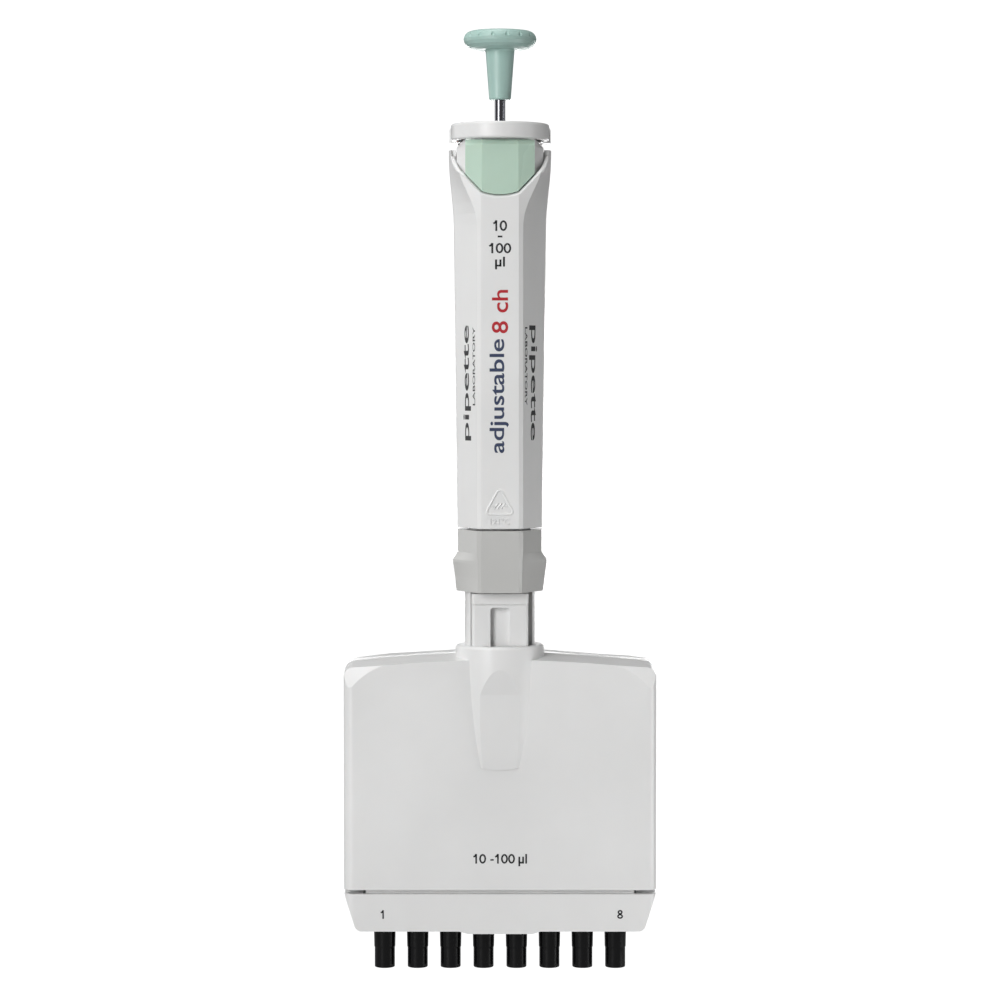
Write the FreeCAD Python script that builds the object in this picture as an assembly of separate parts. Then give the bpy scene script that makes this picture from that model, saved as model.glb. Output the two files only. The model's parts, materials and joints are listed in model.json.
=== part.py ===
"""Eight-channel mechanical pipette with adjustable volume, as separate pieces.

Millimetres. The origin is on the shaft axis, in the plane of the cone ends. +Z points up to the
push button, +X runs along the row of tip cones, and the front of the instrument faces -Y.
"""
import FreeCAD, Part
import math
import os

from FreeCAD import Vector

# ---------------------------------------------------------------- driving dimensions
CHANNELS = 8
PITCH = 9.0                      # channel spacing, the standard of 96-well plates
RUN = 0.1                        # radial clearance of a running fit
GAP = 0.3                        # clearance between bodies that only pass each other

PRESS_TRAVEL = 12.0              # push button, measuring stroke and blow-out together
MEASURE_STROKE = 10.4            # stroke that displaces the full volume
EJECT_TRAVEL = 6.5               # ejector button
PISTON_R = 1.75                  # a stroke of 10.4 mm displaces 100 microlitres

# heights of the outline, from the cone ends upwards
BAR_BOTTOM = 11.1
BAR_TOP = 21.25
COVER_BOTTOM = 22.4
COVER_SIDE_TOP = 80.4
COVER_CORNER = 83.7
COVER_CROWN = 86.05
NECK_TOP = 88.5
COLLAR_BOTTOM = 103.1
COLLAR_TOP = 119.8
HANDLE_BOTTOM = 120.4
HANDLE_TOP = 222.3
CORE_TOP = 225.2
CAP_BOTTOM = 224.95
CAP_TOP = 229.4
KNOB_BOTTOM = 236.0
KNOB_TOP = 254.8

# manifold
COVER_HALF = 42.3
COVER_FRONT = -8.8
COVER_BACK = 14.0
COVER_WALL = 1.8
COVER_SPLIT = 1.0
TOP_SLOPE_Y = 2.0                # the top falls from here towards the front edge
TOP_SLOPE = 1.25
EDGE_R = 2.7
NECK_R = 12.1
SHAFT_R = 9.55
BORE_R = 3.6                     # bore of the shaft tube
SPIGOT_R = 7.4                   # upper end of the shaft tube, in the swivel bush

# grip
SHELL_WALL = 1.4
SHELL_SPLIT = 2.0
FACET_HALF = 5.03                # half the width of the front facet
FRAME_R = 8.7
FRAME_BORE = 7.4
ROD_R = 1.45
SLEEVE_R = 3.2
DRUM_R = 7.0
CAP_R = 13.3
CAP_HOLE_R = 4.6
EJECT_ROD_R = 0.85
EJECT_ROD_AT = (-4.9, 8.5)


def channel_xs():
    first = -PITCH * (CHANNELS - 1) / 2
    return [first + PITCH * i for i in range(CHANNELS)]


# ---------------------------------------------------------------- small helpers
def box(x0, x1, y0, y1, z0, z1):
    return Part.makeBox(x1 - x0, y1 - y0, z1 - z0, Vector(x0, y0, z0))


def rod(radius, z0, z1, x=0.0, y=0.0):
    return Part.makeCylinder(radius, z1 - z0, Vector(x, y, z0))


def level_rod(radius, x, z, y0, y1):
    """Cylinder that lies along Y."""
    return Part.makeCylinder(radius, y1 - y0, Vector(x, y0, z), Vector(0, 1, 0))


def tube(outer, inner, z0, z1, x=0.0, y=0.0):
    return rod(outer, z0, z1, x, y).cut(rod(inner, z0 - 1, z1 + 1, x, y))


def joined(first, *others):
    return first.multiFuse(list(others)).removeSplitter()


def without(solid, *cutters):
    return solid.cut(list(cutters))


def turned(points, at=(0.0, 0.0)):
    """Solid of revolution about a vertical axis, from (radius, height) points."""
    corners = [Vector(r, 0, z) for r, z in points]
    face = Part.Face(Part.makePolygon(corners + corners[:1]))
    solid = face.revolve(Vector(0, 0, 0), Vector(0, 0, 1), 360)
    solid.translate(Vector(at[0], at[1], 0))
    return solid


def plate_xz(edges, y0, y1):
    """Extrusion along Y of a closed outline whose edges lie in the XZ plane."""
    solid = Part.Face(Part.Wire(edges)).extrude(Vector(0, y1 - y0, 0))
    solid.translate(Vector(0, y0, 0))
    return solid


def line(a, b):
    return Part.LineSegment(Vector(*a), Vector(*b)).toShape()


def arc(a, middle, b):
    return Part.Arc(Vector(*a), Vector(*middle), Vector(*b)).toShape()


def rounded_rectangle(half_x, y0, y1, radius, z0, z1):
    """Upright prism with rounded vertical corners."""
    block = box(-half_x, half_x, y0, y1, z0, z1)
    upright = [e for e in block.Edges if abs(e.Vertexes[0].Z - e.Vertexes[1].Z) > 0.5 * (z1 - z0)]
    return block.makeFillet(radius, upright)


def edges_near(solid, test):
    """Edges whose middle point passes a test."""
    found = []
    for edge in solid.Edges:
        middle = edge.valueAt((edge.FirstParameter + edge.LastParameter) / 2)
        if test(middle):
            found.append(edge)
    return found


def coil(radius, wire, z0, z1, turns, at=(0.0, 0.0)):
    """Compression spring whose ends lie between two heights."""
    rise = z1 - z0 - 2 * wire
    path = Part.makeLongHelix(rise / turns, rise, radius)
    profile = Part.Wire(Part.makeCircle(wire, Vector(radius, 0, 0), Vector(0, 1, 0)))
    spring = Part.Wire(path.Edges).makePipeShell([profile], True, True)
    spring.translate(Vector(at[0], at[1], z0 + wire))
    return spring


def export(node, shape):
    if shape.ShapeType == "Compound" and len(shape.Solids) == 1:
        shape = shape.Solids[0]
    if not shape.isValid() or not shape.Solids:
        raise RuntimeError(node + " is not a valid solid")
    shape.exportStep(os.path.join("parts", node + ".step"))
    print(f"{node}: {len(shape.Solids)} solid, {shape.Volume:.0f} mm3")


# ---------------------------------------------------------------- grip
GRIP_FRONT = -12.2
GRIP_SIDE_Y = -1.0               # where the side facets meet the rounded back
BACK_EXTRA = 1.0                 # the back reaches this much further than the half width
FLARE_FROM = 202.0               # below this height the grip is a plain taper
FLARE_TO = 220.0


def eased(z, z0, z1):
    """0 below z0, 1 above z1, with a smooth rise between."""
    t = min(1.0, max(0.0, (z - z0) / (z1 - z0)))
    return t * t * (3 - 2 * t)


def grip_station(z):
    """Height, half width, and the outer edge of the bevel beside the front facet."""
    taper = (z - HANDLE_BOTTOM) / (FLARE_FROM - HANDLE_BOTTOM)
    flare = eased(z, FLARE_FROM, FLARE_TO)
    return z, 11.5 + taper + 1.15 * flare, 6.2 + 5.6 * flare, -11.4 + 2.2 * flare


def grip_heights(low=0.0, high=0.0):
    flare = [FLARE_FROM + 3.0 * k for k in range(7)]
    return [HANDLE_BOTTOM - low] + flare + [HANDLE_TOP + high]


def grip_wire(station, inset=0.0):
    """One cross-section: front facet, two bevels, two side facets and a round back."""
    z, half, bevel_x, bevel_y = station
    side = half - 0.15 - inset
    front = GRIP_FRONT + inset
    facet = FACET_HALF - inset * 0.3
    bevel = (bevel_x - inset * 0.75, bevel_y + inset * 0.8)
    back = half + BACK_EXTRA - inset
    right = [(facet, front, z), (bevel[0], bevel[1], z), (side, GRIP_SIDE_Y, z)]
    left = [(-x, y, z) for x, y, z in reversed(right)]
    return Part.Wire([
        line(left[2], right[0]),
        line(right[0], right[1]),
        line(right[1], right[2]),
        arc(right[2], (0, back, z), left[0]),
        line(left[0], left[1]),
        line(left[1], left[2]),
    ])


def grip_loft(inset=0.0, low=0.0, high=0.0):
    """The grip's form, drawn in by an inset and lengthened at either end."""
    wires = [grip_wire(grip_station(z), inset) for z in grip_heights(low, high)]
    return Part.makeLoft(wires, True, True)


V_FOOT = (4.9, 210.6)            # where the slope meets the bottom arc
V_BOTTOM = 209.75
V_KNEE = (10.7, 216.8)           # where the slope turns up towards the lobe's tip
V_TIP = (12.35, HANDLE_TOP)
LOBE_BACK = 6.8                  # the rear of the top is open behind this plane
REAR_RIM = 214.0                 # height of the rear shell under the ejector button
RIM_WIDE = 0.8                   # bevelled rim along the V
RIM_DEEP = 0.85


def v_path():
    """Points along the V from tip to tip, each with its direction away from the opening."""
    foot, knee, tip = V_FOOT, V_KNEE, V_TIP
    turn = (tip[0] - 0.45, 219.4)
    right = [line((foot[0], 0, foot[1]), (knee[0], 0, knee[1])),
             arc((knee[0], 0, knee[1]), (turn[0], 0, turn[1]), (tip[0], 0, tip[1]))]
    bottom = arc((-foot[0], 0, foot[1]), (0, 0, V_BOTTOM), (foot[0], 0, foot[1]))
    half = [bottom.discretize(9)[4:], right[0].discretize(6)[1:], right[1].discretize(8)[1:]]
    right_points = [p for stretch in half for p in stretch]
    left_points = [Vector(-p.x, 0, p.z) for p in reversed(right_points[1:])]
    points = left_points + right_points
    path = []
    for k, point in enumerate(points):
        along = points[min(k + 1, len(points) - 1)] - points[max(k - 1, 0)]
        path.append((point, Vector(along.z, 0, -along.x).normalize()))
    return path


def v_cut(grow=0.0):
    """Prism that opens the front of the grip above the V."""
    edge = [point + away * grow for point, away in v_path()]
    above = 6.0
    edge = [edge[0] + Vector(0, 0, above)] + edge + [edge[-1] + Vector(0, 0, above)]
    solid = Part.Face(Part.makePolygon(edge + edge[:1])).extrude(Vector(0, 27, 0))
    solid.translate(Vector(0, -30, 0))
    return solid


def grip_surface_y(x, z):
    """Depth of the grip's front surface, straight behind a point of the front view."""
    z, half, bevel_x, bevel_y = grip_station(z)
    corners = [(0.0, GRIP_FRONT), (FACET_HALF, GRIP_FRONT), (bevel_x, bevel_y),
               (half - 0.15, GRIP_SIDE_Y)]
    for (x0, y0), (x1, y1) in zip(corners, corners[1:]):
        if abs(x) <= x1:
            return y0 + (y1 - y0) * (abs(x) - x0) / (x1 - x0)
    return GRIP_SIDE_Y


def v_rim():
    """Bevelled rim that follows the V, sunk a hair below the grip's surface."""
    sections = []
    for point, away in v_path():
        if point.z > HANDLE_TOP - 1.0:
            continue
        outer = point + away * RIM_WIDE
        surface = grip_surface_y(outer.x, min(outer.z, HANDLE_TOP))
        anchor = outer + away * 0.3
        corners = [(anchor, 0.15), (outer, 0.02), (point + away * 0.3, 0.3),
                   (point, RIM_DEEP), (point, SHELL_WALL), (anchor, SHELL_WALL)]
        corners = [Vector(p.x, surface + deep, p.z) for p, deep in corners]
        sections.append(Part.makePolygon(corners + corners[:1]))
    return Part.makeLoft(sections, True, True)


WINDOW_HALF = 3.4
WINDOW_Z = (162.5, 185.5)
SCREW_ZS = (140.0, 192.5)
SHELL_SCREW_R = 1.25


def shell_cavity():
    return grip_loft(SHELL_WALL, 2.0, 2.0)


def grip_hollow():
    return without(grip_loft(), shell_cavity(), v_cut(RIM_WIDE))


def front_shell():
    half = box(-40, 40, -40, SHELL_SPLIT, 100, 240)
    return joined(grip_hollow().common(half), v_rim())


def screw_seat_y(z):
    """Depth at which a screw head sits, just under the back of the grip."""
    return grip_station(z)[1] + BACK_EXTRA - 1.4


def rear_shell():
    half = box(-40, 40, SHELL_SPLIT, 40, 100, 240)
    shell = grip_hollow().common(half)
    opening = box(-WINDOW_HALF - 0.05, WINDOW_HALF + 0.05, 8, 30, WINDOW_Z[0], WINDOW_Z[1])
    top = box(-30, 30, LOBE_BACK, 40, REAR_RIM, 240)
    x, y = EJECT_ROD_AT
    ledge = box(x - 2.4, x + 2.4, 7.0, 12.0, EJECT_SPRING_LOW - 1.6, EJECT_SPRING_LOW)
    ledge = ledge.common(shell_cavity()).cut(rod(FRAME_R + 0.05, 190, 200))
    bosses = []
    holes = [rod(EJECT_ROD_R + GAP, 190, 200, x, y)]
    for z in SCREW_ZS:
        seat = screw_seat_y(z)
        bosses.append(level_rod(3.0, 0, z, 10.95, seat + 0.6))
        holes.append(level_rod(1.35, 0, z, 8, 28))
        holes.append(level_rod(2.3, 0, z, seat, 28))
    return without(joined(without(shell, opening, top), ledge, *bosses), *holes)


def shell_screws():
    """Two screws through the rear shell into the mechanism frame and the spring seat."""
    screws = []
    for z in SCREW_ZS:
        seat = screw_seat_y(z)
        shank = level_rod(SHELL_SCREW_R, 0, z, 7.6, seat + 0.1)
        head = level_rod(2.2, 0, z, seat, seat + 1.1)
        recess = level_rod(0.75, 0, z, seat + 0.5, seat + 1.2)
        screws.append(joined(shank, head).cut(recess))
    return Part.makeCompound(screws)


HOOK_HALF = 8.0
HOOK_TIP_Y = 37.0


def finger_hook():
    """Hook on the back of the grip; the finger lies in the curve under it."""
    root_y, root_top, root_low = 11.5, 213.2, 196.0
    outline = Part.Wire([
        line((0, root_y, root_low), (0, root_y, root_top)),
        line((0, root_y, root_top), (0, 20.0, 212.6)),
        arc((0, 20.0, 212.6), (0, 31.5, 210.2), (0, HOOK_TIP_Y, 202.0)),
        arc((0, HOOK_TIP_Y, 202.0), (0, 35.6, 200.4), (0, 33.8, 201.6)),
        arc((0, 33.8, 201.6), (0, 28.0, 206.0), (0, 21.5, 206.2)),
        arc((0, 21.5, 206.2), (0, 16.6, 203.4), (0, 14.4, root_low)),
        line((0, 14.4, root_low), (0, root_y, root_low)),
    ])
    solid = Part.Face(outline).extrude(Vector(2 * HOOK_HALF, 0, 0))
    solid.translate(Vector(-HOOK_HALF, 0, 0))
    plan = rounded_rectangle(HOOK_HALF, 0.0, HOOK_TIP_Y + 0.3, 5.0, 190, 220)
    solid = solid.common(plan)
    return solid.cut(grip_loft())


def core_wire(z, half, front):
    """Cross-section of the upper core: a faceted front and a flat back."""
    points = [(-half, LOBE_BACK - GAP, z), (-half, -4.5, z), (-9.0, -8.7, z), (-4.6, front, z)]
    points += [(-x, y, z) for x, y, z in reversed(points)]
    corners = [Vector(*p) for p in points]
    return Part.makePolygon(corners + corners[:1])


def upper_core():
    """White inner body: guides the rod and closes the top of the grip."""
    lower = Part.makeLoft([core_wire(204.0, 10.4, -10.3), core_wire(212.0, 10.9, -10.3),
                           core_wire(218.0, 11.7, -10.3), core_wire(222.7, 11.75, -10.3),
                           core_wire(CORE_TOP, 9.6, -10.0)], True, True)
    solid = lower.common(shell_cavity().fuse(box(-20, 20, -20, 20, 212, 230)))
    solid = without(solid, rod(FRAME_R + 0.1, 200, 214), rod(ROD_R + RUN, 200, 230),
                    rod(CAP_HOLE_R, 221.0, 230), colour_insert())
    return solid.cut(joined(grip_hollow(), v_rim())).removeSplitter()


def colour_insert():
    """Pale green plate that fills the V, flush with the facets of the grip."""
    top, side, foot_x, foot_z, bottom = 224.75, 9.3, V_FOOT[0] - 0.1, V_FOOT[1] + 0.15, V_BOTTOM + 0.15
    side_z = foot_z + (side - foot_x) * (V_KNEE[1] - V_FOOT[1]) / (V_KNEE[0] - V_FOOT[0])
    outline = [
        line((-side, 0, top), (side, 0, top)),
        line((side, 0, top), (side, 0, side_z)),
        line((side, 0, side_z), (foot_x, 0, foot_z)),
        arc((foot_x, 0, foot_z), (0, 0, bottom), (-foot_x, 0, foot_z)),
        line((-foot_x, 0, foot_z), (-side, 0, side_z)),
        line((-side, 0, side_z), (-side, 0, top)),
    ]
    plate = plate_xz(outline, -14, -8.0)
    plan = [(-9.4, -8.4), (-9.4, -10.0), (-4.9, -12.1), (4.9, -12.1), (9.4, -10.0), (9.4, -8.4)]
    plan += [(4.8, -10.3), (-4.8, -10.3)]
    corners = [Vector(x, y, 200) for x, y in plan]
    facets = Part.Face(Part.makePolygon(corners + corners[:1])).extrude(Vector(0, 0, 30))
    plate = plate.common(facets)
    front_top = edges_near(plate, lambda p: p.z > top - 0.01 and p.y < -10.6)
    return plate.makeChamfer(1.5, front_top)


def top_cap():
    """Round white cap, hollow below, cut flat where the ejector button begins."""
    disc = rod(CAP_R, CAP_BOTTOM, CAP_TOP)
    rims = [e for e in disc.Edges if abs(e.BoundBox.ZMax - e.BoundBox.ZMin) < 0.01]
    disc = disc.makeFillet(0.6, rims)
    hollow = rod(CAP_R - 1.3, CAP_BOTTOM - 1, CAP_TOP - 2.0)
    foot = tube(CAP_HOLE_R + 1.6, CAP_HOLE_R, CORE_TOP, CAP_TOP - 1.0)
    cap = disc.cut(hollow).fuse(foot)
    rear = box(-30, 30, LOBE_BACK - GAP / 2, 30, 200, 240)
    return without(cap, rod(CAP_HOLE_R, 200, 240), rear).removeSplitter()


def volume_window():
    """Clear block that brings the view of the drums out to the rear face."""
    block = box(-WINDOW_HALF, WINDOW_HALF, 8.9, 20, WINDOW_Z[0] + 0.05, WINDOW_Z[1] - 0.05)
    return block.common(grip_loft(0.15))


NUT_SLOT_HALF = 1.6
PINION_AT = (8.35, -2.2)
PINION_R = 1.3


def mechanism_frame():
    """Tube that guides the stop nut's ears and lets the drums be seen from behind."""
    wall = tube(FRAME_R, FRAME_BORE, 160.0, 213.9)
    ear_slots = box(-20, 20, -NUT_SLOT_HALF, NUT_SLOT_HALF, 187.0, 203.0)
    window = box(-4.2, 4.2, 0, 20, 162.0, 186.0)
    pinion_slot = box(PINION_AT[0] - 2.2, 20, PINION_AT[1] - 2.0, PINION_AT[1] + 2.0, 168.5, 180.5)
    hole = level_rod(SHELL_SCREW_R, 0, SCREW_ZS[1], 0, 20)
    axle_hole = rod(0.5, 167.0, 182.0, *PINION_AT)
    button_way = box(-20, 20, FRAME_BORE, 20, EJECT_SPRING_LOW, 220)
    spring_way = rod(EJECT_SPRING_R + EJECT_SPRING_WIRE + GAP, EJECT_SPRING_LOW, 220, *EJECT_ROD_AT)
    return without(wall, ear_slots, window, pinion_slot, hole, axle_hole, button_way, spring_way)


def spring_seat():
    """Plate under the return spring, with a tab for the lower screw."""
    plate = grip_loft(SHELL_WALL + 0.1).common(box(-30, 30, -30, 30, 131.8, 133.4))
    x, y = EJECT_ROD_AT
    tab = box(-2.6, 2.6, 8.6, 10.9, 133.0, 142.5).common(grip_loft(SHELL_WALL + 0.1))
    holes = [level_rod(SHELL_SCREW_R, 0, SCREW_ZS[0], 6, 26), rod(FOOT_STEM_R + GAP, 120, 150),
             rod(EJECT_ROD_R + GAP, 120, 150, x, y)]
    return without(joined(plate, tab), *holes)


def swivel_bush():
    """Bearing of the shaft tube's spigot, filling the bottom of the grip."""
    fill = grip_loft(SHELL_WALL + 0.1).common(
        box(-30, 30, -30, 30, HANDLE_BOTTOM + 0.5, 128.3))
    x, y = EJECT_ROD_AT
    return without(fill, rod(SPIGOT_R + 0.08, 110, 140), rod(EJECT_ROD_R + GAP, 110, 140, x, y))


# ---------------------------------------------------------------- plunger and volume setting
FOOT_FLANGE = (150.0, 153.0)
FOOT_STEM_R = 2.2
FOOT_END = 99.9
STOP_RING = (205.0, 209.0)
PIN_Z = 207.0
BLOWOUT_SOLID = 0.9              # height of the blow-out spring when it is flat
NUT_TOP = STOP_RING[0] - PRESS_TRAVEL - BLOWOUT_SOLID
NUT_HEIGHT = 3.5
SLEEVE_Z = (160.0, 213.6)
KNOB_NOTCHES = 16


def plunger_foot():
    """Thrust piece: flange for the return spring, socket for the rod, long push stem."""
    stem = rod(FOOT_STEM_R, FOOT_END, FOOT_FLANGE[0] + 1)
    flange = rod(6.5, *FOOT_FLANGE)
    boss = rod(3.0, FOOT_FLANGE[1] - 0.5, 158.0)
    socket = rod(ROD_R + 0.08, 151.3, 160.0)
    return joined(stem, flange, boss).cut(socket)


def push_button():
    """Mint knob: tapered stem, dished underside and a grooved rim."""
    knob = turned([(0, KNOB_BOTTOM), (2.65, KNOB_BOTTOM), (2.95, KNOB_BOTTOM + 0.35), (3.9, 249.0),
                   (4.15, 249.4), (6.2, 249.5), (7.9, 249.9), (9.1, 250.7), (9.7, 251.6),
                   (9.85, 252.4), (9.72, 253.0), (9.4, 253.6), (8.9, 254.1), (8.2, 254.4),
                   (5.0, KNOB_TOP - 0.1), (0, KNOB_TOP)])
    notches = []
    for k in range(KNOB_NOTCHES):
        angle = 2 * math.pi * (k + 0.5) / KNOB_NOTCHES
        notches.append(rod(0.5, 252.5, 256, 9.9 * math.cos(angle), 9.9 * math.sin(angle)))
    return without(knob, rod(ROD_R, KNOB_BOTTOM - 1, 244.0), *notches)


def drive_pin_shape(radius, reach):
    return Part.makeCylinder(radius, 2 * reach, Vector(-reach, 0, PIN_Z), Vector(1, 0, 0))


def operating_rod():
    return rod(ROD_R, 151.5, 244.0).cut(drive_pin_shape(0.7, 5))


def stop_ring():
    return tube(5.6, SLEEVE_R + 0.15, *STOP_RING).cut(drive_pin_shape(0.7, 4.9))


def volume_sleeve():
    """Threaded sleeve, slotted for the drive pin, with its thrust flange at the top."""
    body = joined(rod(SLEEVE_R, *SLEEVE_Z), rod(5.5, 211.1, SLEEVE_Z[1]))
    slots = box(-8, 8, -0.78, 0.78, PIN_Z - PRESS_TRAVEL - 1.2, PIN_Z + 1.2)
    return without(body, rod(ROD_R + RUN, 150, 220), slots)


def number_drum(z0, hub):
    """Ring drum with a recess at the top where the carry pinion's teeth run."""
    drum = tube(DRUM_R, hub, z0, z0 + 6.0)
    relief = tube(DRUM_R + 1, DRUM_R - 0.6, z0 + 5.2, z0 + 7)
    return drum.cut(relief)


DRUM_ZS = {"units_drum": 178.5, "tens_drum": 171.5, "hundreds_drum": 164.5}


def carry_pinions():
    """Two pinions on one axle, between neighbouring drums."""
    wheels = []
    for z in (176.4, 169.4):
        wheel = tube(PINION_R, 0.56, z, z + 3.0, *PINION_AT)
        notches = []
        for k in range(8):
            angle = math.pi * k / 4
            notches.append(rod(0.22, z - 1, z + 4, PINION_AT[0] + PINION_R * math.cos(angle),
                               PINION_AT[1] + PINION_R * math.sin(angle)))
        wheels.append(without(wheel, *notches))
    return joined(wheels[0], wheels[1], tube(0.95, 0.56, 171.0, 178.0, *PINION_AT))


def stop_nut():
    low = NUT_TOP - NUT_HEIGHT
    ears = box(-8.5, 8.5, -NUT_SLOT_HALF + 0.15, NUT_SLOT_HALF - 0.15, low, NUT_TOP)
    body = joined(rod(7.1, low, NUT_TOP), ears.common(rod(8.5, low, NUT_TOP)))
    return body.cut(rod(SLEEVE_R + RUN, low - 1, NUT_TOP + 1))


# ---------------------------------------------------------------- ejector, upper part
COLLAR_BORE = SHAFT_R + 0.2
EJECT_ROD_LOW = 110.8
BUTTON_STEM_Y = (7.8, 10.3)
BUTTON_STEM_LOW = 211.6
EJECT_SPRING_R = 1.45            # mean radius of the ejector's return spring
EJECT_SPRING_WIRE = 0.2
EJECT_SPRING_LOW = 198.0
BARREL_STEP = 103.7              # above this height the shaft is slimmer
UPPER_BARREL_R = 8.4


def ejector_button():
    """Thumb piece behind the cap, with a stem down to the ejector rod."""
    pad = rounded_rectangle(13.8, -8.0, 17.0, 5.5, CAP_BOTTOM, CAP_TOP)
    pad = pad.makeFillet(1.2, edges_near(pad, lambda p: p.z > CAP_TOP - 0.01))
    pad = pad.cut(box(-30, 30, -30, LOBE_BACK + GAP / 2, 200, 240))
    hollow = box(-11.6, 11.6, 8.6, 14.6, CAP_BOTTOM - 1, CAP_TOP - 1.6)
    stem = box(-6.0, 6.0, BUTTON_STEM_Y[0], BUTTON_STEM_Y[1], BUTTON_STEM_LOW, CAP_TOP - 1.0)
    x, y = EJECT_ROD_AT
    return without(joined(pad.cut(hollow), stem), rod(EJECT_ROD_R, 200, 217.0, x, y))


def collar_stations():
    """Sections like the grip's own, which they follow at the top before they flare."""
    return [
        (COLLAR_BOTTOM, 11.85, 5.9, -11.7),
        (107.0, 12.3, 5.9, -11.6),
        (110.9, 12.85, 6.0, -11.5),
        (111.6, 12.85, 6.0, -11.5),
        (113.7, 11.45, 6.2, -11.4),
        (COLLAR_TOP, 11.45, 6.2, -11.4),
    ]


def ejector_collar():
    """Skirt that slides down the shaft and pushes the ejector slide."""
    flare = Part.makeLoft([grip_wire(station) for station in collar_stations()], True, True)
    x, y = EJECT_ROD_AT
    step = BARREL_STEP + EJECT_TRAVEL + 0.4
    return without(flare, rod(COLLAR_BORE, 90, step), rod(UPPER_BARREL_R + 0.2, 90, 130),
                   rod(EJECT_ROD_R, EJECT_ROD_LOW, 130, x, y))


def ejector_rod():
    x, y = EJECT_ROD_AT
    return rod(EJECT_ROD_R, EJECT_ROD_LOW, 217.0, x, y)


# ---------------------------------------------------------------- manifold
def outline_top(half, side_top, corner_in, corner_z, crown, bottom):
    """Outline of the manifold: straight sides, rounded shoulders and a gently arched top."""
    knee = 0.3
    right_corner = arc((half, 0, side_top), (half - corner_in * knee, 0, corner_z - 0.9),
                       (half - corner_in, 0, corner_z))
    left_corner = arc((-half + corner_in, 0, corner_z), (-half + corner_in * knee, 0, corner_z - 0.9),
                      (-half, 0, side_top))
    return [
        line((-half, 0, bottom), (half, 0, bottom)),
        line((half, 0, bottom), (half, 0, side_top)),
        right_corner,
        arc((half - corner_in, 0, corner_z), (0, 0, crown), (-half + corner_in, 0, corner_z)),
        left_corner,
        line((-half, 0, side_top), (-half, 0, bottom)),
    ]


SCOOP = [(-30.9, 83.5), (-38.5, 79.1), (-42.0, 74.6)]      # front edge of a scooped corner


def circle_through(a, b, c):
    ax, az, bx, bz, cx, cz = *a, *b, *c
    d = 2 * (ax * (bz - cz) + bx * (cz - az) + cx * (az - bz))
    ux = ((ax**2 + az**2) * (bz - cz) + (bx**2 + bz**2) * (cz - az) + (cx**2 + cz**2) * (az - bz)) / d
    uz = ((ax**2 + az**2) * (cx - bx) + (bx**2 + bz**2) * (ax - cx) + (cx**2 + cz**2) * (bx - ax)) / d
    return ux, uz, math.hypot(ax - ux, az - uz)


def corner_scoops():
    """Cutters that bevel the top corners of the front and back faces along an arc."""
    x, z, radius = circle_through(*SCOOP)
    depth, reach = 4.0, 9.0
    corner = box(-50, SCOOP[0][0], -0.5, depth, 66, 95)
    keep = Part.makeCone(radius, radius + reach, depth + 0.5, Vector(x, 0, z), Vector(0, 1, 0))
    inner = Part.makeCylinder(radius, 1.0, Vector(x, -0.9, z), Vector(0, 1, 0))
    left = without(corner, keep, inner)
    cutters = []
    for wedge in (left, left.mirror(Vector(0, 0, 0), Vector(1, 0, 0))):
        front = wedge.copy()
        front.translate(Vector(0, COVER_FRONT, 0))
        rear = wedge.mirror(Vector(0, 0, 0), Vector(0, 1, 0))
        rear.translate(Vector(0, COVER_BACK, 0))
        cutters += [front, rear]
    return cutters


def manifold_outline(inset, drop, y):
    """Outline of the manifold at one depth, with its top lowered by `drop`."""
    below = 2.0 if inset else 0.0    # a hollow runs out through the open bottom
    edges = outline_top(COVER_HALF - inset, COVER_SIDE_TOP - inset - drop, 2.3,
                        COVER_CORNER - inset - drop, COVER_CROWN - inset - drop,
                        COVER_BOTTOM - below)
    wire = Part.Wire(edges)
    wire.translate(Vector(0, y, 0))
    return wire


def manifold_block(inset=0.0):
    """Outer form of the manifold, or the hollow inside it; its top slopes down to the front."""
    crest = manifold_outline(inset, 0.0, TOP_SLOPE_Y)
    front = Part.makeLoft([manifold_outline(inset, TOP_SLOPE, COVER_FRONT + inset), crest], True, True)
    back = Part.Face(crest).extrude(Vector(0, COVER_BACK - inset - TOP_SLOPE_Y, 0))
    plan = rounded_rectangle(COVER_HALF - inset, COVER_FRONT + inset, COVER_BACK - inset,
                             max(EDGE_R - inset, 0.9), 0, 100)
    return joined(front, back).common(plan)


RIB_FOOT = 55.0
RIB_RADII = (10.15, 11.5, NECK_R)      # at its foot, at half height and at the neck
RIB_TOP = 84.5


def nose_rib():
    """Half-round rib that narrows from the neck down and melts into the front panel."""
    foot, middle, top = RIB_RADII
    profile = Part.Wire([
        line((0, 0, RIB_FOOT), (foot, 0, RIB_FOOT)),
        arc((foot, 0, RIB_FOOT), (middle, 0, 70.7), (top, 0, RIB_TOP)),
        line((top, 0, RIB_TOP), (0, 0, RIB_TOP)),
        line((0, 0, RIB_TOP), (0, 0, RIB_FOOT)),
    ])
    half_round = Part.Face(profile).revolve(Vector(0, 0, 0), Vector(0, 0, 1), 360)
    # the flat face leans back towards the foot, and fades out below the neck
    side = Part.makePolygon([Vector(-20, COVER_FRONT + 0.5, RIB_FOOT - 2), Vector(-20, -8.95, RIB_FOOT - 2),
                             Vector(-20, -10.5, 75.5), Vector(-20, -12.3, 83.5),
                             Vector(-20, -12.3, RIB_TOP), Vector(-20, COVER_FRONT + 0.5, RIB_TOP),
                             Vector(-20, COVER_FRONT + 0.5, RIB_FOOT - 2)])
    face_block = Part.Face(side).extrude(Vector(40, 0, 0))
    round_foot = Part.makeCylinder(18.5, 30, Vector(0, -30, RIB_FOOT + 18.4), Vector(0, 1, 0))
    return half_round.common(face_block).common(round_foot)


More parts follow.
